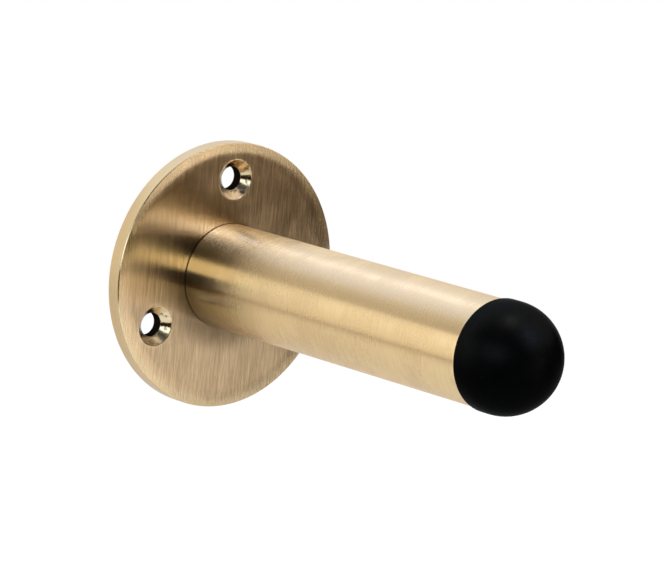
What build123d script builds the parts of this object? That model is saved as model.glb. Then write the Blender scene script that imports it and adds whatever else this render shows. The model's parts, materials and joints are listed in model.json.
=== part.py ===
from build123d import *
import os
from math import radians, tan

# Skirting-mounted door stop: a turned bar on a round rose, with a push-in rubber buffer at its nose.
# The origin is the centre of the rose's back, which lies against the skirting board.
# +Z is up, +Y points into the wall, and the stop reaches out along -Y. Lengths are in millimetres.

# Rose: the round plate that is screwed to the skirting board
rose_diameter = 51.0
rose_thickness = 3.5
rose_front_edge_chamfer = 0.15
rose_back_edge_chamfer = 0.3
rose_buffed_width = 3.0
rose_buffed_drop = 0.18

# Countersunk holes in the rose, evenly spaced on one circle with the first at the top
wall_hole_count = 3
wall_hole_circle = 37.0
wall_hole_diameter = 4.5
wall_countersink_diameter = 7.6
wall_countersink_angle = 90.0
wall_countersink_edge_chamfer = 0.1
first_wall_hole_angle = 90.0

# Bar: solid round stock, faced square at both ends
bar_diameter = 20.0
bar_length = 78.0
bar_edge_chamfer = 0.2

# Socket in the bar's nose that takes the buffer's stem
socket_diameter = 9.0
socket_depth = 13.0
socket_mouth_chamfer = 0.5
drill_point_angle = 118.0

# Countersunk machine screw that holds the bar on the rose from behind
screw_diameter = 5.0
screw_reach = 12.0
screw_head_diameter = 9.2
screw_head_angle = 90.0
screw_head_land = 0.25
screw_head_sink = 0.2
screw_tip_chamfer = 0.6
cross_recess_span = 4.6
cross_recess_wing = 1.1
cross_recess_depth = 2.0
cross_recess_floor_span = 2.0
shank_clearance = 0.25
thread_clearance = 0.05
thread_run_out = 3.0

# Rubber buffer: a round band and dome that overhang the bar, on a ribbed stem
buffer_overhang = 0.4
buffer_band_length = 2.4
buffer_back_edge_chamfer = 0.4
stem_diameter = 7.6
stem_end_gap = 1.0
stem_tip_chamfer = 1.0
stem_rib_count = 2
stem_rib_pitch = 4.4
stem_rib_length = 2.6
stem_rib_land = 0.6
stem_rib_clearance = 0.05

# Places that follow from the sizes, as distances out from the wall
rose_radius = rose_diameter / 2
rose_flat_radius = rose_radius - rose_buffed_width
rose_edge_height = rose_thickness - rose_buffed_drop
bar_foot = rose_thickness
bar_nose = bar_foot + bar_length
buffer_radius = bar_diameter / 2 + buffer_overhang
dome_start = bar_nose + buffer_band_length
dome_tip = dome_start + buffer_radius
stem_length = socket_depth - stem_end_gap
stem_rib_height = socket_diameter / 2 - stem_rib_clearance - stem_diameter / 2
wall_plane = Plane.XZ
into_wall_plane = -wall_plane

# Screw head: a short land, then a cone down to the shank
head_half_angle_slope = tan(radians(screw_head_angle / 2))
head_radius = screw_head_diameter / 2
screw_radius = screw_diameter / 2
head_cone_start = screw_head_sink + screw_head_land
head_cone_end = head_cone_start + (head_radius - screw_radius) / head_half_angle_slope
screw_tip = bar_foot + screw_reach
head_countersink_radius = head_radius + head_cone_start * head_half_angle_slope


def drilled_hole(radius, depth):
    """Cut a blind round hole with a drill's conical end, down from the current location."""
    point_length = radius / tan(radians(drill_point_angle / 2))
    Hole(radius=radius, depth=depth)
    with Locations((0, 0, -depth)):
        Cone(
            bottom_radius=0,
            top_radius=radius,
            height=point_length,
            align=(Align.CENTER, Align.CENTER, Align.MAX),
            mode=Mode.SUBTRACT,
        )


with BuildPart() as rose:
    # Half section through the axis: x is the radius and y runs from the wall out to the rose's face.
    # Buffing has rounded the face off gently towards its edge.
    with BuildSketch(Plane.XY) as rose_section:
        with BuildLine():
            Polyline(
                (rose_radius, -rose_edge_height),
                (rose_radius, 0),
                (0, 0),
                (0, -rose_thickness),
                (rose_flat_radius, -rose_thickness),
            )
            TangentArc((rose_flat_radius, -rose_thickness), (rose_radius, -rose_edge_height), tangent=(1, 0))
        make_face()
        chamfer(rose_section.vertices().group_by(Axis.X)[-1].sort_by(Axis.Y)[-1], rose_back_edge_chamfer)
        chamfer(rose_section.vertices().group_by(Axis.X)[-1].sort_by(Axis.Y)[0], rose_front_edge_chamfer)
    revolve(axis=Axis.Y)
    with Locations(wall_plane.offset(rose_thickness)):
        with PolarLocations(wall_hole_circle / 2, wall_hole_count, first_wall_hole_angle):
            CounterSinkHole(
                radius=wall_hole_diameter / 2,
                counter_sink_radius=wall_countersink_diameter / 2,
                counter_sink_angle=wall_countersink_angle,
            )
    face_edges = rose.faces().filter_by(GeomType.PLANE).sort_by(Axis.Y)[0].edges()
    countersink_mouths = face_edges.filter_by(lambda edge: edge.radius < rose_flat_radius)
    chamfer(countersink_mouths, wall_countersink_edge_chamfer)
    with Locations(into_wall_plane):
        CounterSinkHole(
            radius=screw_radius + shank_clearance,
            counter_sink_radius=head_countersink_radius,
            counter_sink_angle=screw_head_angle,
        )
rose.part.label = "rose"

with BuildPart() as bar:
    with BuildSketch(wall_plane.offset(bar_foot)):
        Circle(bar_diameter / 2)
    extrude(amount=bar_length)
    chamfer(bar.edges().filter_by(GeomType.CIRCLE), bar_edge_chamfer)
    with Locations(into_wall_plane.offset(-bar_foot)):
        drilled_hole(screw_radius + thread_clearance, screw_reach + thread_run_out)
    with Locations(wall_plane.offset(bar_nose)):
        drilled_hole(socket_diameter / 2, socket_depth)
    socket_mouth = bar.faces().sort_by(Axis.Y)[0].edges().sort_by(SortBy.RADIUS)[0]
    chamfer(socket_mouth, socket_mouth_chamfer)
bar.part.label = "bar"

with BuildPart() as buffer:
    # Half section through the axis: x is the radius and y runs from the wall out to the dome's tip
    with BuildSketch(Plane.XY) as cap_section:
        with BuildLine():
            Polyline((0, -bar_nose), (buffer_radius, -bar_nose), (buffer_radius, -dome_start))
            TangentArc((buffer_radius, -dome_start), (0, -dome_tip), tangent=(0, -1))
            Line((0, -dome_tip), (0, -bar_nose))
        make_face()
        back_corner = cap_section.vertices().group_by(Axis.Y)[-1].sort_by(Axis.X)[-1]
        chamfer(back_corner, buffer_back_edge_chamfer)
    revolve(axis=Axis.Y)
    with BuildSketch(Plane.XY) as stem_section:
        with Locations((0, -bar_nose)):
            Rectangle(stem_diameter / 2, stem_length, align=(Align.MIN, Align.MIN))
        stem_corner = stem_section.vertices().group_by(Axis.Y)[-1].sort_by(Axis.X)[-1]
        chamfer(stem_corner, stem_tip_chamfer)
        with Locations((stem_diameter / 2, stem_length / 2 - bar_nose)):
            with GridLocations(0, stem_rib_pitch, 1, stem_rib_count):
                Polygon(
                    (0, -stem_rib_length / 2),
                    (stem_rib_height, -stem_rib_length / 2),
                    (stem_rib_height, stem_rib_land - stem_rib_length / 2),
                    (0, stem_rib_length / 2),
                    align=None,
                )
    revolve(axis=Axis.Y)
buffer.part.label = "buffer"

with BuildPart() as fixing_screw:
    with BuildSketch(Plane.XY) as screw_section:
        with BuildLine():
            Polyline(
                (0, -screw_head_sink),
                (head_radius, -screw_head_sink),
                (head_radius, -head_cone_start),
                (screw_radius, -head_cone_end),
                (screw_radius, -screw_tip),
                (0, -screw_tip),
                close=True,
            )
        make_face()
        tip_corner = screw_section.vertices().group_by(Axis.Y)[0].sort_by(Axis.X)[-1]
        chamfer(tip_corner, screw_tip_chamfer)
    revolve(axis=Axis.Y)
    # The driver's cross recess narrows from the head's face to its floor
    for depth, span in ((0, cross_recess_span), (cross_recess_depth, cross_recess_floor_span)):
        with BuildSketch(wall_plane.offset(screw_head_sink + depth)):
            Rectangle(span, cross_recess_wing)
            Rectangle(cross_recess_wing, span)
    loft(ruled=True, mode=Mode.SUBTRACT)
fixing_screw.part.label = "fixing_screw"

os.makedirs("parts", exist_ok=True)
export_step(rose.part, "parts/rose.step")
export_step(bar.part, "parts/bar.step")
export_step(buffer.part, "parts/buffer.step")
export_step(fixing_screw.part, "parts/fixing_screw.step")
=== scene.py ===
# %% [markdown]
# # A brass door stop, finished for the camera
# The stop is a turned brass bar on a round rose, with a black rubber buffer pushed into its nose. The packed
# model already has the true shapes of the metal pieces, so they stay and only get finishes. The rubber is
# moulded again here, so that its dome is smooth and its back edge is rounded.

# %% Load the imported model
import json
from math import cos, radians, sin

import bmesh
import bpy
from mathutils import Matrix, Vector


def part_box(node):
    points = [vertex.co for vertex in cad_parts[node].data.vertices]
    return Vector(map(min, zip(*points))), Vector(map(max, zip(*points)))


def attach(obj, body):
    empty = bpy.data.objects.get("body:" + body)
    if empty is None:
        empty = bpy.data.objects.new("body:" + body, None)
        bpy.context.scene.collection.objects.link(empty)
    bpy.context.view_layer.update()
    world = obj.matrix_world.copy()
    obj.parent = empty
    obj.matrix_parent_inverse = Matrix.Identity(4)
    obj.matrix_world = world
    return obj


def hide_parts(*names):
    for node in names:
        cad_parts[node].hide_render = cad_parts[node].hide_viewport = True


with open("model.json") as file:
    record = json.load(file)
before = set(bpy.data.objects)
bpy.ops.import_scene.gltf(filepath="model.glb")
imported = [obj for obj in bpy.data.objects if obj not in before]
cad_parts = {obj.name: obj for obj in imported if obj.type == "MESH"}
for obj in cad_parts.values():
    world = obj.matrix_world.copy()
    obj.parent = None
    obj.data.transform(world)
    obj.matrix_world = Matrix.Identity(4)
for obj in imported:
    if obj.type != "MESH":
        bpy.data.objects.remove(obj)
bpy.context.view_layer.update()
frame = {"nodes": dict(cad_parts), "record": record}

mm = 0.001
nodes = frame["nodes"]
print("pieces from the packed model:", ", ".join(sorted(nodes)))

# %% [markdown]
# ## Sizes of the turned pieces
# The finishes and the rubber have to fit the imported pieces. Typing their outer sizes in again would mean
# keeping them in step by hand. Instead each piece's box gives its radius and how far it stands out from
# the wall, and the record's screw pattern gives the holes. All are in millimetres.

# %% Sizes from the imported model
rose_box, bar_box, buffer_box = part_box("rose"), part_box("bar"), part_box("buffer")
rose_radius, rose_out = rose_box[1].x / mm, -rose_box[0].y / mm
bar_radius = bar_box[1].x / mm
bar_foot_out, bar_nose_out = -bar_box[1].y / mm, -bar_box[0].y / mm
print("rose radius", round(rose_radius, 2), "bar radius", round(bar_radius, 2))
print("bar from", round(bar_foot_out, 2), "to", round(bar_nose_out, 2), "out from the wall")

# %% Screw holes from the record
first_hole_turn, full_turn = 90, 360
mounts = frame["record"]["mounts"]
screw_pattern = next(mount["dims"] for mount in mounts if mount["kind"] == "bolt_pattern")
hole_count = screw_pattern["count"]
hole_circle_radius, bore_radius = screw_pattern["pcd_mm"] / 2, screw_pattern["hole_r_mm"]
hole_turns = [radians(first_hole_turn + full_turn * number / hole_count) for number in range(hole_count)]
print(hole_count, "holes of radius", bore_radius, "on a circle of radius", hole_circle_radius)

# %% [markdown]
# ## The camera
# The photo was taken with a long lens from the front left, a little above the bar and slightly rolled. A
# Track To constraint can aim a camera, but it keeps it level. So the camera is built from its viewing
# direction: three unit vectors (right, up, back) become the columns of its matrix, and the roll turns the
# first two.

# %% Camera
picture_width, sensor_width, focal_pixels = 665, 36, 4531.076
camera_turn, camera_rise, camera_roll = -40.184, 9.211, radians(5.554)
camera_distance = 833.572 * mm
aim_point = Vector((0, -40, 0)) * mm
aim_right, aim_up = -2.933 * mm, 3.301 * mm


def direction(turn, rise):
    """Unit vector from the stop, turned from straight in front (-Y) towards +X, and raised; in degrees."""
    turn, rise = radians(turn), radians(rise)
    return Vector((sin(turn) * cos(rise), -cos(turn) * cos(rise), sin(rise)))


back = direction(camera_turn, camera_rise)
level_right = (-back).cross(Vector((0, 0, 1))).normalized()
level_up = level_right.cross(-back)
right = cos(camera_roll) * level_right + sin(camera_roll) * level_up
up = cos(camera_roll) * level_up - sin(camera_roll) * level_right
camera_place = aim_point + aim_right * right + aim_up * up + camera_distance * back

camera_data = bpy.data.cameras.new("camera")
camera_data.sensor_width = sensor_width
camera_data.lens = focal_pixels * sensor_width / picture_width
camera = bpy.data.objects.new("camera", camera_data)
camera.matrix_world = Matrix.Translation(camera_place) @ Matrix((right, up, back)).transposed().to_4x4()
bpy.context.scene.collection.objects.link(camera)
bpy.context.scene.camera = camera
bpy.context.scene.view_settings.view_transform = "Standard"
print("lens", round(camera_data.lens, 1), "mm, camera at", [round(v, 3) for v in camera_place])


# %% [markdown]
# ## Small helpers for node trees
# Every finish below is a tree of shader nodes. Each node could be added, set and linked by hand in several
# lines. One helper does all of it in one call, and a few more stand for the sums that come up again and
# again, so that a finish reads from top to bottom like a recipe.

# %% Helpers that add nodes
def add(tree, kind, inputs=None, **settings):
    """Add a node, set its properties, then set or link its inputs by name or number."""
    made = tree.nodes.new("ShaderNode" + kind)
    for name, value in settings.items():
        setattr(made, name, value)
    for name, value in (inputs or {}).items():
        if isinstance(value, bpy.types.NodeSocket):
            tree.links.new(value, made.inputs[name])
        else:
            made.inputs[name].default_value = value
    return made


def place_group(tree, group, inputs=None):
    """Put a node group into a tree; gives its outputs."""
    return add(tree, "Group", inputs, node_tree=group).outputs


def finish_with(tree, end, look):
    """Add the main shader with its inputs and link it to the material's output."""
    shader = add(tree, "BsdfPrincipled", look)
    tree.links.new(shader.outputs[0], end.inputs["Surface"])


print("helpers that add nodes are ready")


# %% Helpers that do sums
def calc(tree, operation, first, second=0.0):
    """One sum on two values or sockets."""
    return add(tree, "Math", {0: first, 1: second}, operation=operation).outputs[0]


def times(tree, first, *others):
    """Multiply values or sockets."""
    product = first
    for value in others:
        product = calc(tree, "MULTIPLY", product, value)
    return product


def weigh(tree, *shares):
    """Add up values, each given with its weight."""
    total = 0.0
    for value, weight in shares:
        total = calc(tree, "ADD", total, calc(tree, "MULTIPLY", value, weight))
    return total


def fade(tree, value, start, end, low=0.0, high=1.0):
    """A smooth step from low to high while the value goes from start to end."""
    inputs = {"Value": value, "From Min": start, "From Max": end, "To Min": low, "To Max": high}
    return add(tree, "MapRange", inputs, interpolation_type="SMOOTHSTEP").outputs["Result"]


def vary(tree, mask, low, high):
    """A value that goes smoothly from low to high as a mask goes from 0 to 1."""
    return fade(tree, mask, 0.0, 1.0, low, high)


print("helpers that do sums are ready")


# %% Helpers for colours
def grey(level):
    """A colour with the same level of red, green and blue."""
    return (level, level, level, 1.0)


def blend(tree, factor, first, second):
    """Mix two colours."""
    mix = add(tree, "Mix", {"Factor": factor}, data_type="RGBA")
    for name, value in (("A", first), ("B", second)):
        socket = next(s for s in mix.inputs if s.name == name and s.type == "RGBA")
        if isinstance(value, bpy.types.NodeSocket):
            tree.links.new(value, socket)
        else:
            socket.default_value = value
    return next(s for s in mix.outputs if s.type == "RGBA")


print("helpers for colours are ready")


# %% Containers for nodes
def new_group(name, inputs, outputs):
    """A node group with sockets given as name and kind; returns the tree and its two end nodes."""
    tree = bpy.data.node_groups.new(name, "ShaderNodeTree")
    for side, sockets in (("INPUT", inputs), ("OUTPUT", outputs)):
        for socket, kind in sockets.items():
            tree.interface.new_socket(socket, in_out=side, socket_type="NodeSocket" + kind)
    return tree, tree.nodes.new("NodeGroupInput"), tree.nodes.new("NodeGroupOutput")


def new_material(name):
    """A material with only its output node."""
    material = bpy.data.materials.new(name)
    material.use_nodes = True
    material.node_tree.nodes.clear()
    return material, material.node_tree, material.node_tree.nodes.new("ShaderNodeOutputMaterial")


print("containers for nodes are ready")

# %% [markdown]
# ## The studio: a white room
# Brass shows little of its own: it shows the room. The photo's background is white, so the room is white
# too. A picture of a studio could be wrapped round the scene, but a plain room with its own lamps can be
# set band by band. It is full white for the camera and for mirrored rays, and gives only a little light.

# %% White room
room_level = 0.35

world = bpy.data.worlds.new("white room")
world.use_nodes = True
bpy.context.scene.world = world
room = world.node_tree
room.nodes.clear()
ray = add(room, "LightPath").outputs
shows_white = calc(room, "MAXIMUM", ray["Is Camera Ray"], ray["Is Glossy Ray"])
shows_white = calc(room, "MAXIMUM", shows_white, ray["Is Transmission Ray"])
plain_light = add(room, "Background", {"Color": grey(1.0), "Strength": room_level}).outputs[0]
white_wall = add(room, "Background", {"Color": grey(1.0), "Strength": 1.0}).outputs[0]
room_mix = add(room, "MixShader", {0: shows_white, 1: plain_light, 2: white_wall}).outputs[0]
add(room, "OutputWorld", {"Surface": room_mix})
print("room light", room_level)

# %% [markdown]
# ## The studio: a floor
# Behind and below the stop the photo is plain white. A large plane would do as a floor, but its far edge
# could show as a grey line. So the floor is a white disc well below the stop that fades out towards its
# rim. It glows a little, so that the camera sees it white, and it is dimmer and warmer in the metal.

# %% Floor shape
floor_level = -110 * mm
floor_radius, floor_sides = 0.9, 96

floor_mesh = bpy.data.meshes.new("floor")
sheet = bmesh.new()
bmesh.ops.create_circle(sheet, cap_ends=True, segments=floor_sides, radius=floor_radius)
bmesh.ops.translate(sheet, verts=sheet.verts, vec=(0, 0, floor_level))
sheet.to_mesh(floor_mesh)
sheet.free()
floor = bpy.data.objects.new("floor", floor_mesh)
bpy.context.scene.collection.objects.link(floor)
print("floor", round(floor_level / mm), "mm from the bar's axis")

# %% Floor paint
floor_white, floor_warmth = grey(0.85), (1.0, 0.87, 0.74, 1.0)
floor_lift, floor_mirror_lift = 0.7, 0.38
floor_fade = (0.35, 0.75)

floor_paint, tree, end = new_material("floor paint")
ray = add(tree, "LightPath").outputs
mirrored = calc(tree, "MAXIMUM", ray["Is Glossy Ray"], ray["Is Transmission Ray"])
seen_lift = times(tree, ray["Is Camera Ray"], floor_lift)
mirror_lift = times(tree, mirrored, floor_mirror_lift)
matt = add(tree, "BsdfDiffuse", {"Color": floor_white}).outputs[0]
seen_glow = add(tree, "Emission", {"Strength": seen_lift}).outputs[0]
mirror_glow = add(tree, "Emission", {"Color": floor_warmth, "Strength": mirror_lift}).outputs[0]
lit = add(tree, "AddShader", {0: matt, 1: seen_glow}).outputs[0]
lit = add(tree, "AddShader", {0: lit, 1: mirror_glow}).outputs[0]
on_floor = add(tree, "TexCoord").outputs["Object"]
from_middle = add(tree, "VectorMath", {0: on_floor}, operation="LENGTH").outputs["Value"]
past_edge = fade(tree, from_middle, *floor_fade)
clear = add(tree, "BsdfTransparent").outputs[0]
tree.links.new(add(tree, "MixShader", {0: past_edge, 1: lit, 2: clear}).outputs[0], end.inputs["Surface"])
floor_mesh.materials.append(floor_paint)
print("floor fades out from", floor_fade[0], "to", floor_fade[1], "m")


# %% [markdown]
# ## The studio: softboxes
# A softbox is a lamp behind white cloth, and each draws its own soft band on metal. Here they are area
# lamps, each named for where it stands and moved until its band fell where the photo has one. Glowing
# planes could do the same, but lamps are sampled with less noise. Watts say little about how bright a
# band looks, so each lamp is given a brightness, and its watts follow from that and its area.

# %% Softboxes
watts_for_brightness = 4


def softbox(name, turn, rise, distance, size, brightness, colour, lights_floor=True):
    """A soft rectangular lamp that faces the stop and is out of the picture itself; degrees and metres."""
    lamp = bpy.data.lights.new(name, "AREA")
    lamp.shape = "RECTANGLE"
    lamp.size, lamp.size_y = size
    lamp.energy = watts_for_brightness * brightness * lamp.size * lamp.size_y
    lamp.color = colour
    box = bpy.data.objects.new(name, lamp)
    box.location = aim_point + distance * direction(turn, rise)
    box.rotation_euler = direction(turn, rise).to_track_quat("Z", "Y").to_euler()
    box.visible_camera, box.visible_diffuse = False, lights_floor
    bpy.context.scene.collection.objects.link(box)
    print(name, "at", [round(v, 2) for v in box.location], "watts", round(lamp.energy, 2))


sky_white, cool_white = (0.3, 0.55, 1.0), (0.5, 0.7, 1.0)
plain_white, strip_white = (1.0, 1.0, 0.97), (0.79, 1.0, 1.18)
softbox("high front softbox", 21, 45, 0.78, (0.36, 0.42), 2.7, cool_white)
softbox("back softbox", 166, 45, 0.9, (1.0, 0.6), 0.36, sky_white)
softbox("small top box", 0, 84, 0.8, (0.14, 0.14), 13.0, plain_white, lights_floor=False)
softbox("left strip", -66, 12.0, 0.335, (0.35, 0.13), 2.3, strip_white)
softbox("far left strip", -111, 5.0, 0.315, (0.185, 0.245), 1.06, plain_white)
softbox("front strip", 26, 1.9, 0.54, (0.22, 0.075), 1.9, plain_white)
softbox("low front box", 12.5, -5.9, 0.53, (0.168, 0.11), 1.4, plain_white)


# %% [markdown]
# ## The studio: cards and cloths
# Dark cards in front of shiny metal give it depth, and pale cloths make it light. Here the upright cards
# give the rose its deep brown, and the cloths set how bright the floor looks in the metal. Flat planes
# would meet at corners that could show, so each sheet is an edge spun round an upright axis. Only mirrored
# rays see it: it doesn't show in the picture, light the floor or cast a shadow.

# %% A curved sheet
card_brown, cloth_white = (1.0, 0.72, 0.42, 1.0), (0.78, 0.92, 1.0, 1.0)
spin_steps = 48


def curved_sheet(name, middle, near_edge, far_edge, turn_from, turn_to, glow, colour=card_brown):
    """A sheet that only the metal sees: an edge between two (radius, height) corners, spun round a middle."""
    mesh = bpy.data.meshes.new(name)
    sheet = bmesh.new()
    ends = [
        sheet.verts.new(middle + radius * direction(turn_from, 0) + Vector((0, 0, height)))
        for radius, height in (near_edge, far_edge)
    ]
    sheet.edges.new(ends)
    bmesh.ops.spin(
        sheet, geom=sheet.verts[:] + sheet.edges[:], cent=middle, axis=(0, 0, 1),
        angle=radians(turn_to - turn_from), steps=spin_steps,
    )
    sheet.to_mesh(mesh)
    sheet.free()
    paint, tree, end = new_material(name + " paint")
    shade = add(tree, "Emission", {"Color": colour, "Strength": glow}).outputs[0]
    tree.links.new(shade, end.inputs["Surface"])
    mesh.materials.append(paint)
    card = bpy.data.objects.new(name, mesh)
    bpy.context.scene.collection.objects.link(card)
    card.visible_camera = card.visible_diffuse = card.visible_shadow = card.visible_transmission = False
    print(name, turn_to - turn_from, "degrees round its middle")


print("each sheet is spun in", spin_steps, "steps")

# %% Upright cards
ring_middle, ring_radius = Vector((160, -58, 0)) * mm, 0.5
card_foot = (ring_radius, floor_level)
tall_card_top, low_card_top = (ring_radius, 0.9), (ring_radius, 0.22)
curved_sheet("left card", ring_middle, card_foot, tall_card_top, -115, -15, 0.005)
curved_sheet("front card", ring_middle, card_foot, low_card_top, -15, 25, 0.2)
curved_sheet("right card", ring_middle, card_foot, low_card_top, 25, 115, 0.03)

# %% Cloths on the floor
cloth_level = floor_level + 1 * mm
under_stop, cloth_seam, cloth_end = (0.01, cloth_level), (0.24, cloth_level), (0.7, cloth_level)
white_start, white_end = (0.2, cloth_level), (0.5, cloth_level)
curved_sheet("near cloth", aim_point, under_stop, cloth_seam, -100, 12, 1.4, cloth_white)
curved_sheet("left cloth", aim_point, cloth_seam, cloth_end, -108, -5, 0.1)
curved_sheet("right cloth", aim_point, cloth_seam, cloth_end, 40, 68, 0.06)
curved_sheet("white sheet", aim_point, white_start, white_end, 10, 40, 1.75, grey(1.0))

# %% [markdown]
# ## Where a point lies on a turned piece
# All four pieces are turned about the same axis. A finish could follow a UV map, but Object coordinates
# fit all four at once and need no unwrapping. This group gives each point its distance from the axis, its
# height above it and its distance out from the wall, so that finishes are written in millimetres.

# %% Place on the axis
place_outputs = {
    "Millimetres": "Vector", "Flat": "Vector", "Radius": "Float", "Up": "Float", "Out": "Float",
}
turned_place, _, given = new_group("place on the axis", {}, place_outputs)
metres = add(turned_place, "TexCoord").outputs["Object"]
in_mm = add(turned_place, "VectorMath", {0: metres, 1: (1 / mm,) * 3}, operation="MULTIPLY").outputs[0]
flat = add(turned_place, "VectorMath", {0: in_mm, 1: (1, 0, 1)}, operation="MULTIPLY").outputs[0]
radius = add(turned_place, "VectorMath", {0: flat}, operation="LENGTH").outputs["Value"]
along = add(turned_place, "SeparateXYZ", {0: in_mm}).outputs
out = times(turned_place, along["Y"], -1.0)
for socket, value in zip(place_outputs, (in_mm, flat, radius, along["Z"], out)):
    turned_place.links.new(value, given.inputs[socket])
print("group made:", turned_place.name)

# %% [markdown]
# ## Brushed grain
# A satin finish is thousands of fine parallel scratches. Modelling them would take millions of faces, so two
# stretched noises stand for them: a broad one for the bands that a belt leaves, and a fine one for single
# scratches. It is a group, because the rose and the bar both use it, each stretched along its own grain.

# %% Brushed grain group
broad_look = {"Scale": 0.3, "Detail": 2.0, "Roughness": 0.5}
fine_look = {"Scale": 1.0, "Detail": 2.0, "Roughness": 0.6}
broad_share, fine_share = 0.2, 0.8
grain_contrast = (0.3, 0.7)

grain_group, grain_in, grain_out = new_group(
    "brushed grain", {"Vector": "Vector"}, {"Fine": "Float", "Height": "Float"}
)
stretched = grain_in.outputs["Vector"]
broad = add(grain_group, "TexNoise", {"Vector": stretched, **broad_look}).outputs[0]
fine = add(grain_group, "TexNoise", {"Vector": stretched, **fine_look}).outputs[0]
broad = fade(grain_group, broad, *grain_contrast)
fine = fade(grain_group, fine, *grain_contrast)
both = weigh(grain_group, (broad, broad_share), (fine, fine_share))
grain_group.links.new(fine, grain_out.inputs["Fine"])
grain_group.links.new(both, grain_out.inputs["Height"])
print("group made:", grain_group.name)

# %% [markdown]
# ## Handling marks
# Fingers and cloths leave soft cloudy patches where a surface is a little duller, and dust leaves a few small
# specks. They could be painted by hand, but a noise and a cell pattern never repeat and need no picture.

# %% Handling marks group
cloud_look = {"Scale": 0.11, "Detail": 4.0, "Roughness": 0.55, "Distortion": 0.4}
cloud_contrast = (0.32, 0.68)
speck_scale, speck_edge = 0.45, (0.10, 0.05)

marks_group, marks_in, marks_out = new_group(
    "handling marks", {"Vector": "Vector"}, {"Cloud": "Float", "Specks": "Float"}
)
at = marks_in.outputs["Vector"]
cloud = add(marks_group, "TexNoise", {"Vector": at, **cloud_look}).outputs[0]
specks = add(marks_group, "TexVoronoi", {"Vector": at, "Scale": speck_scale}).outputs["Distance"]
marks_group.links.new(fade(marks_group, cloud, *cloud_contrast), marks_out.inputs["Cloud"])
marks_group.links.new(fade(marks_group, specks, *speck_edge), marks_out.inputs["Specks"])
print("group made:", marks_group.name)

# %% [markdown]
# ## Rose: antique brass with a straight grain
# The face was belt sanded straight, nearly upright, then toned brown and rubbed back, so the scratches
# hold the brown. Round the bar's foot and below it the face is painted dark brown, a painted shadow of
# the bar. The rim and the back were turned, so they are smoother and paler, with faint lathe rings. The
# countersinks are bright from the tool, and the bores are painted nearly black as painted shade. Separate
# materials for these places would need the mesh to be cut up. Instead one material has a mask for each
# place, worked out from where a point lies, and the masks choose between the finishes.

# %% Rose: colours
brass, toned_brass = (0.72, 0.52, 0.31, 1.0), (0.49, 0.35, 0.205, 1.0)
# The dark brown is painted shade round and under the bar, and also the dark flecks in the countersinks.
bright_brass, fleck_and_shade_brown = (0.86, 0.64, 0.37, 1.0), (0.10, 0.065, 0.03, 1.0)
rim_brass, rim_toned_brass = (0.72, 0.53, 0.285, 1.0), (0.6, 0.435, 0.23, 1.0)
# The bore colour is painted shade: the bore walls are drawn nearly black. The joint brown is the dark line at
# the bar.
painted_bore_shade, joint_brown = (0.012, 0.008, 0.004, 1.0), (0.19, 0.13, 0.075, 1.0)
print("rose face", brass[:3], "toned", toned_brass[:3])

# %% Rose: grain and marks
rose_grain_tilt, rose_grain_stretch = radians(-8), (8.0, 8.0, 0.16)

rose_finish, tree, end = new_material("rose brass")
place = place_group(tree, turned_place)
grain_map = add(tree, "Mapping", {
    "Vector": place["Millimetres"], "Rotation": (0, rose_grain_tilt, 0), "Scale": rose_grain_stretch,
}).outputs[0]
grain = place_group(tree, grain_group, {"Vector": grain_map})
marks = place_group(tree, marks_group, {"Vector": place["Millimetres"]})
print("grain and marks in", rose_finish.name)

# %% Rose: face and holes
# Each pair says where a fade starts and where it is complete, in millimetres.
rim_drop, face_blend = 0.3, 0.05
face_step = (rose_out - rim_drop - face_blend, rose_out - rim_drop + face_blend)
back_skin = (0.3, 0.6)
countersink_radius = 3.9
countersink_step = (countersink_radius + 0.08, countersink_radius - 0.08)
mouth_wear = (countersink_radius + 0.7, countersink_radius)
bore_step = (bore_radius + 0.1, bore_radius + 0.02)

on_face = fade(tree, place["Out"], *face_step)
off_back = fade(tree, place["Out"], *back_skin)
from_hole = 2 * rose_radius
for turn in hole_turns:
    hole = (hole_circle_radius * cos(turn), 0, hole_circle_radius * sin(turn))
    gap = add(tree, "VectorMath", {0: place["Flat"], 1: hole}, operation="DISTANCE").outputs["Value"]
    from_hole = calc(tree, "MINIMUM", gap, from_hole)
bright_cut = times(tree, off_back, fade(tree, from_hole, *countersink_step))
in_bore = fade(tree, from_hole, *bore_step)
near_mouth = fade(tree, from_hole, *mouth_wear)
print("holes at", [round(turn, 2) for turn in hole_turns], "radians")

# %% Rose: edge, joint and foot
edge_wear = (rose_radius - 2.8, rose_radius - 0.3)
joint_line = (bar_radius + 0.24, bar_radius + 0.08)
# Where the painted shadow of the bar darkens the face: round the foot and below it.
foot_shade_reach = (bar_radius + 6.0, bar_radius)
foot_shade_heights = (0.25 * bar_radius, -0.2 * bar_radius)

near_edge = fade(tree, place["Radius"], *edge_wear)
in_joint = times(tree, on_face, fade(tree, place["Radius"], *joint_line))
foot_shade_mask = times(tree, fade(tree, place["Radius"], *foot_shade_reach), fade(tree, place["Up"], *foot_shade_heights))
print("toner up to", round(foot_shade_reach[0], 2), "mm from the axis")

# %% Rose: wear and tool marks
worn_scratches = (0.45, 0.7)
ring_look, ring_contrast, ring_out_stretch = {"Scale": 3.0, "Detail": 3.0}, (0.35, 0.65), 2.0
ripple_look, fleck_contrast = {"Scale": 0.9, "Detail": 2.0}, (0.52, 0.66)

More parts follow.
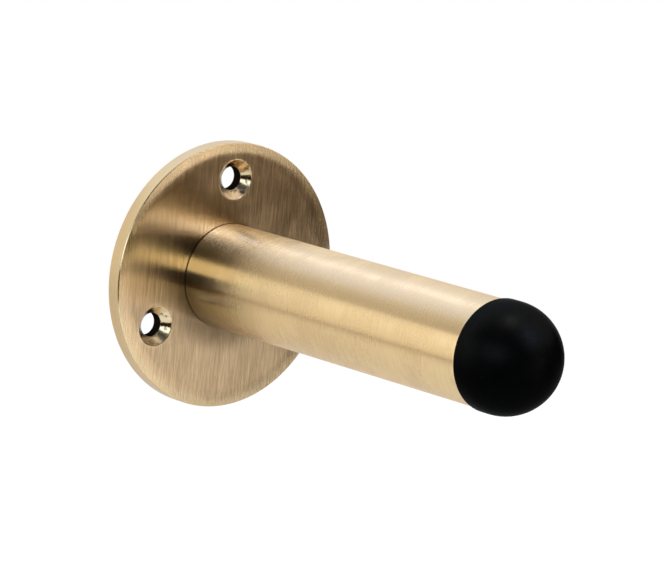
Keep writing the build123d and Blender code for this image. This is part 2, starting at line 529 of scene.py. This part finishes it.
worn_edge = times(tree, near_edge, vary(tree, grain["Fine"], *worn_scratches))
wear = calc(tree, "MAXIMUM", times(tree, near_mouth, grain["Fine"]), worn_edge)
ring_out = times(tree, place["Out"], ring_out_stretch)
ring_map = add(tree, "CombineXYZ", {0: place["Radius"], 1: ring_out}).outputs[0]
lathe_rings = add(tree, "TexNoise", {"Vector": ring_map, **ring_look}, noise_dimensions="2D").outputs[0]
lathe_rings = fade(tree, lathe_rings, *ring_contrast)
ripple = add(tree, "TexNoise", {"Vector": place["Millimetres"], **ripple_look}).outputs[0]
flecks = times(tree, bright_cut, fade(tree, ripple, *fleck_contrast))
print("wear and tool marks in", rose_finish.name)

# %% Rose: colour
face_grain_share, face_cloud_share, face_contrast = 0.85, 0.15, (0.15, 0.85)
turned_cloud_share, turned_ring_share = 0.4, 0.6
foot_shade_range, fleck_share = (0.62, 0.86), 0.7

face_tone = weigh(tree, (grain["Height"], face_grain_share), (marks["Cloud"], face_cloud_share))
turned_tone = weigh(tree, (marks["Cloud"], turned_cloud_share), (lathe_rings, turned_ring_share))
# Painted shadow of the bar: its strength, varied a little by the cloudy marks.
painted_shade = times(tree, foot_shade_mask, vary(tree, marks["Cloud"], *foot_shade_range))
colour = blend(tree, fade(tree, face_tone, *face_contrast), toned_brass, brass)
colour = blend(tree, wear, colour, bright_brass)
# The painted shadow turns the face dark brown round and below the bar's foot.
colour = blend(tree, painted_shade, colour, fleck_and_shade_brown)
colour = blend(tree, on_face, blend(tree, turned_tone, rim_toned_brass, rim_brass), colour)
colour = blend(tree, bright_cut, colour, brass)
colour = blend(tree, times(tree, flecks, fleck_share), colour, fleck_and_shade_brown)
# Painted shade inside the bores: their walls turn nearly black.
colour = blend(tree, in_bore, colour, painted_bore_shade)
colour = blend(tree, in_joint, colour, joint_brown)
print("colour in", rose_finish.name)

# %% Rose: roughness and bumps
face_roughness, grain_roughness, cloud_roughness, bore_roughness = 0.155, 0.04, 0.04, 0.7
edge_dulling, turned_polish, cut_dulling = 1.35, 0.8, 1.15
scratch_depth, rose_bump = 0.1, 0.04 * mm

rough = weigh(tree, (grain["Height"], grain_roughness), (marks["Cloud"], cloud_roughness))
rough = calc(tree, "ADD", face_roughness, rough)
rough = times(tree, rough, vary(tree, near_edge, 1.0, edge_dulling))
rough = times(tree, rough, vary(tree, on_face, turned_polish, 1.0))
rough = times(tree, rough, vary(tree, bright_cut, 1.0, cut_dulling))
rough = calc(tree, "MAXIMUM", rough, times(tree, in_bore, bore_roughness))
smoothed = calc(tree, "MAXIMUM", bright_cut, near_edge)
face_scratches = times(tree, grain["Height"], vary(tree, smoothed, scratch_depth, 0.0))
turned_scratches = times(tree, lathe_rings, scratch_depth)
scratches = add(tree, "Mix", {"Factor": on_face, "A": turned_scratches, "B": face_scratches}).outputs[0]
height = calc(tree, "ADD", scratches, times(tree, ripple, bright_cut))
bumps = add(tree, "Bump", {"Height": height, "Strength": 1.0, "Distance": rose_bump}).outputs[0]
print("roughness and bumps in", rose_finish.name)

# %% Rose: shader
# Light smears across the grain, so the shader's tangent points that way, tilted a little more than the
# scratches themselves.
rose_smear_tilt = radians(-10)

metal = calc(tree, "SUBTRACT", 1.0, in_bore)
across_grain = add(tree, "CombineXYZ", {0: cos(rose_smear_tilt), 2: -sin(rose_smear_tilt)}).outputs[0]
finish_with(tree, end, {
    "Base Color": colour, "Metallic": metal, "Roughness": rough, "Normal": bumps,
    "Specular IOR Level": 0.0, "Anisotropic": 1.0, "Tangent": across_grain,
})
nodes["rose"].material_slots[0].material = rose_finish
print("rose finish on", nodes["rose"].name)

# %% [markdown]
# ## Bar: brushed round
# The bar was polished in a lathe with a fine belt, so its scratches run round it and light smears along
# its length. Its underside near the foot is painted a darker brown, a painted shade under the bar by the
# rose. Along its upper sides lies a pale painted highlight, strongest at the foot, and below that highlight
# the foot is a little shinier. A Tangent node could turn the shader's grain, but one vector along the bar is
# enough, because the light smears the same way all round it.

# %% Bar: colours and grain
bar_brass, bar_toned_brass = (0.82, 0.59, 0.31, 1.0), (0.69, 0.49, 0.253, 1.0)
# The pale colour of a painted highlight on the bar's upper sides.
pale_highlight = (0.88, 0.71, 0.54, 1.0)
bar_grain_stretch = (0.3, 4.2, 0.3)

bar_finish, tree, end = new_material("bar brass")
place = place_group(tree, turned_place)
grain_map = add(tree, "Mapping", {"Vector": place["Millimetres"], "Scale": bar_grain_stretch}).outputs[0]
grain = place_group(tree, grain_group, {"Vector": grain_map})
marks = place_group(tree, marks_group, {"Vector": place["Millimetres"]})
print("grain and marks in", bar_finish.name)

# %% Bar: worn places, painted shade and painted highlight
end_wear, worn_contrast = (1.4, 0.2), (0.2, 0.7)
# Painted shade: the underside is darkened from the foot out to the shade's reach, in millimetres.
underside, shade_reach = (-0.02 * bar_radius, -0.22 * bar_radius), (27, 5)
upper_sides, crown = (0.45 * bar_radius, 0.85 * bar_radius), (0.99 * bar_radius, 0.9 * bar_radius)
highlight_reach, highlight_along, highlight_at_foot, highlight_patches = (17, 2), 0.5, 1.0, (0.75, 1.0)
crisp_reach = (24, 3)

from_nose = calc(tree, "SUBTRACT", bar_nose_out, place["Out"])
from_foot = calc(tree, "SUBTRACT", place["Out"], bar_foot_out)
near_end = fade(tree, calc(tree, "MINIMUM", from_nose, from_foot), *end_wear)
worn_ends = times(tree, near_end, fade(tree, grain["Fine"], *worn_contrast))
# Painted shade on the underside near the foot, where the rose shades the bar.
painted_shade = times(tree, fade(tree, place["Up"], *underside), fade(tree, from_foot, *shade_reach))
on_top = fade(tree, place["Up"], *upper_sides)
off_crown = fade(tree, place["Up"], *crown)
# Painted highlight: the upper sides, off the crown, paler near the foot and in cloudy patches.
painted_highlight = times(tree, on_top, off_crown, fade(tree, from_foot, *highlight_reach, highlight_along, highlight_at_foot))
painted_highlight = times(tree, painted_highlight, vary(tree, marks["Cloud"], *highlight_patches))
crisp = times(tree, fade(tree, from_foot, *crisp_reach), calc(tree, "SUBTRACT", 1.0, on_top))
print("toner reaches", shade_reach[0], "mm from the foot, haze", highlight_reach[0], "mm")

# %% Bar: finish
bar_grain_share, bar_cloud_share, bar_contrast = 0.55, 0.45, (0.1, 0.9)
worn_share, bar_shade_share = 0.7, 0.68
bar_roughness, bar_grain_roughness, bar_cloud_roughness, foot_polish = 0.23, 0.05, 0.05, 0.77
bar_bump_strength, bar_bump = 0.08, 0.03 * mm

tone = weigh(tree, (grain["Height"], bar_grain_share), (marks["Cloud"], bar_cloud_share))
colour = blend(tree, fade(tree, tone, *bar_contrast), bar_toned_brass, bar_brass)
colour = blend(tree, times(tree, worn_ends, worn_share), colour, bright_brass)
# The painted shade turns the underside near the foot towards dark brown.
colour = blend(tree, times(tree, painted_shade, bar_shade_share), colour, fleck_and_shade_brown)
# The painted highlight turns the upper sides pale.
colour = blend(tree, painted_highlight, colour, pale_highlight)
rough = weigh(tree, (grain["Height"], bar_grain_roughness), (marks["Cloud"], bar_cloud_roughness))
rough = calc(tree, "ADD", bar_roughness, rough)
rough = times(tree, rough, vary(tree, crisp, 1.0, foot_polish))
bump_look = {"Height": grain["Height"], "Strength": bar_bump_strength, "Distance": bar_bump}
bumps = add(tree, "Bump", bump_look).outputs[0]
along_bar = add(tree, "CombineXYZ", {1: 1.0}).outputs[0]
finish_with(tree, end, {
    "Base Color": colour, "Metallic": 1.0, "Roughness": rough, "Normal": bumps,
    "Anisotropic": 0.945, "Tangent": along_bar,
})
nodes["bar"].material_slots[0].material = bar_finish
print("bar finish on", nodes["bar"].name)

# %% [markdown]
# ## Screw: bright zinc plate
# The screw shows only in its recess behind the rose. Zinc plate is pale, slightly blue and faintly
# mottled, like frost. A noise would look cloudy, so a cell pattern makes the small crystals, and the same
# pattern gives the colour and the bumps.

# %% Screw finish
pale_zinc, dull_zinc = (0.66, 0.67, 0.69, 1.0), (0.48, 0.49, 0.50, 1.0)
zinc_speck, zinc_speck_share = (0.30, 0.27, 0.22, 1.0), 0.5
crystal_scale, crystal_contrast = 2.2, (0.1, 0.7)
zinc_roughness = (0.24, 0.40)
zinc_bump_strength, zinc_bump = 0.1, 0.02 * mm

screw_finish, tree, end = new_material("zinc plate")
place = place_group(tree, turned_place)
marks = place_group(tree, marks_group, {"Vector": place["Millimetres"]})
crystal_look = {"Vector": place["Millimetres"], "Scale": crystal_scale}
crystals = add(tree, "TexVoronoi", crystal_look).outputs["Distance"]
colour = blend(tree, fade(tree, crystals, *crystal_contrast), pale_zinc, dull_zinc)
colour = blend(tree, times(tree, marks["Specks"], zinc_speck_share), colour, zinc_speck)
rough = vary(tree, marks["Cloud"], *zinc_roughness)
bump_look = {"Height": crystals, "Strength": zinc_bump_strength, "Distance": zinc_bump}
bumps = add(tree, "Bump", bump_look).outputs[0]
finish_with(tree, end, {"Base Color": colour, "Metallic": 1.0, "Roughness": rough, "Normal": bumps})
nodes["fixing_screw"].material_slots[0].material = screw_finish
print("screw finish on", nodes["fixing_screw"].name)

# %% [markdown]
# ## Buffer: moulded rubber
# The buffer is one moulding: a dome, a short band behind it that covers the bar's nose, and a barbed stem
# in the bar's socket. A profile could be spun round the axis, but half of a ball gives the dome at once.
# Its open edge is a ring of edges, and each extrusion of that ring grows the next stretch of the outline:
# the band, the flat back, the stem and its barbs. A bevel then rounds the moulded back corner. The stem
# is hidden in the bar and no box shows its sizes, so they are written here as in the part's source.

# %% Buffer: dome
buffer_radius, bar_nose = buffer_box[1].x, bar_box[0].y
dome_start, stem_tip = buffer_box[0].y + buffer_radius, buffer_box[1].y
dome_sides, dome_rings = 96, 48
cut_tolerance = 1e-7

shape = bmesh.new()
bmesh.ops.create_uvsphere(shape, u_segments=dome_sides, v_segments=dome_rings, radius=buffer_radius)
bmesh.ops.rotate(shape, verts=shape.verts, cent=(0, 0, 0), matrix=Matrix.Rotation(radians(90), 3, "X"))
bmesh.ops.translate(shape, verts=shape.verts, vec=(0, dome_start, 0))
bmesh.ops.bisect_plane(
    shape, geom=shape.verts[:] + shape.edges[:] + shape.faces[:], dist=cut_tolerance,
    plane_co=(0, dome_start, 0), plane_no=(0, 1, 0), clear_outer=True,
)
ring = [edge for edge in shape.edges if edge.is_boundary]
print("dome with an open ring of", len(ring), "edges")


# %% Buffer: band, stem and barbs
def grow_ring(shape, ring, radius, place):
    """Extrude an open ring of edges to a new radius and a new place along the axis; gives the new ring."""
    grown = bmesh.ops.extrude_edge_only(shape, edges=ring)["geom"]
    for corner in (part for part in grown if isinstance(part, bmesh.types.BMVert)):
        from_axis = Vector((corner.co.x, 0, corner.co.z)).normalized()
        corner.co = from_axis * radius + Vector((0, place, 0))
    return [part for part in grown if isinstance(part, bmesh.types.BMEdge) and part.is_boundary]


stem_radius, barb_radius, tip_chamfer = 3.8 * mm, 4.45 * mm, 1.0 * mm
barb_count, barb_pitch, barb_land, barb_length = 2, 4.4 * mm, 0.6 * mm, 2.6 * mm

back_corner = grow_ring(shape, ring, buffer_radius, bar_nose)
ring = grow_ring(shape, back_corner, stem_radius, bar_nose)
stem_middle = (bar_nose + stem_tip) / 2
for number in range(barb_count):
    barb_back = stem_middle + (number - (barb_count - 1) / 2) * barb_pitch - barb_length / 2
    ring = grow_ring(shape, ring, stem_radius, barb_back)
    ring = grow_ring(shape, ring, barb_radius, barb_back)
    ring = grow_ring(shape, ring, barb_radius, barb_back + barb_land)
    ring = grow_ring(shape, ring, stem_radius, barb_back + barb_length)
ring = grow_ring(shape, ring, stem_radius, stem_tip - tip_chamfer)
ring = grow_ring(shape, ring, stem_radius - tip_chamfer, stem_tip)
bmesh.ops.contextual_create(shape, geom=ring)
print("stem with", barb_count, "barbs")

# %% Buffer: rounded corner and finished piece
back_rounding, rounding_steps = 0.4 * mm, 4
merge_distance, sharp_angle = 1e-6, radians(40)

bmesh.ops.bevel(
    shape, geom=back_corner, offset=back_rounding, offset_type="OFFSET", segments=rounding_steps,
    profile=0.5, affect="EDGES", material=-1,
)
bmesh.ops.remove_doubles(shape, verts=shape.verts, dist=merge_distance)
bmesh.ops.recalc_face_normals(shape, faces=shape.faces)
open_edges = sum(edge.is_boundary for edge in shape.edges)
buffer_mesh = bpy.data.meshes.new("rubber_buffer")
shape.to_mesh(buffer_mesh)
shape.free()
for face in buffer_mesh.polygons:
    face.use_smooth = True
buffer_mesh.set_sharp_from_angle(angle=sharp_angle)
buffer = bpy.data.objects.new("rubber_buffer", buffer_mesh)
bpy.context.scene.collection.objects.link(buffer)
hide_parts("buffer")
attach(buffer, "root")
print("buffer faces", len(buffer_mesh.polygons), "open edges", open_edges)

# %% [markdown]
# ## Rubber finish
# The rubber is matt and very black, with a faint bloom, fine pebbles from the mould and a soft shine on
# its upper half. The shine is a thin coat rather than a specular level that changes over the surface. A
# specular level that changes over the surface would do, but the export doesn't keep one. Its weight
# falls off below and towards the outline, where a coat would mirror too much.

# %% Rubber: colour and bumps
rubber_black, rubber_bloom = (0.0003, 0.0003, 0.00025, 1.0), (0.0012, 0.0011, 0.0009, 1.0)
rubber_speck, rubber_speck_share = (0.02, 0.018, 0.015, 1.0), 0.15
pebble_look = {"Scale": 3.2, "Detail": 3.0, "Roughness": 0.6}
rubber_roughness, bloom_roughness, pebble_roughness = 0.34, 0.08, 0.08
pebble_bump_strength, pebble_bump = 0.12, 0.05 * mm

rubber, tree, end = new_material("black rubber")
place = place_group(tree, turned_place)
marks = place_group(tree, marks_group, {"Vector": place["Millimetres"]})
pebble = add(tree, "TexNoise", {"Vector": place["Millimetres"], **pebble_look}).outputs[0]
colour = blend(tree, marks["Cloud"], rubber_black, rubber_bloom)
colour = blend(tree, times(tree, marks["Specks"], rubber_speck_share), colour, rubber_speck)
rough = weigh(tree, (marks["Cloud"], bloom_roughness), (pebble, pebble_roughness))
rough = calc(tree, "ADD", rubber_roughness, rough)
bump_look = {"Height": pebble, "Strength": pebble_bump_strength, "Distance": pebble_bump}
bumps = add(tree, "Bump", bump_look).outputs[0]
print("colour and bumps in", rubber.name)

# %% Rubber: shine
outline_fade = (0.8, 0.25)
shine_heights, least_shine, most_shine = (-3, 6), 0.01, 0.12
pebble_contrast, pebble_shine = (0.3, 0.7), (0.75, 1.25)

facing = add(tree, "LayerWeight", {"Blend": 0.5}).outputs["Facing"]
shine = fade(tree, place["Up"], *shine_heights, least_shine, most_shine)
shine = times(tree, shine, fade(tree, facing, *outline_fade))
shine = times(tree, shine, fade(tree, pebble, *pebble_contrast, *pebble_shine))
finish_with(tree, end, {
    "Base Color": colour, "Roughness": rough, "Normal": bumps,
    "Specular IOR Level": 0.005, "Coat Weight": shine, "Coat Roughness": 0.4,
})
buffer_mesh.materials.append(rubber)
print("rubber finish on", buffer.name)
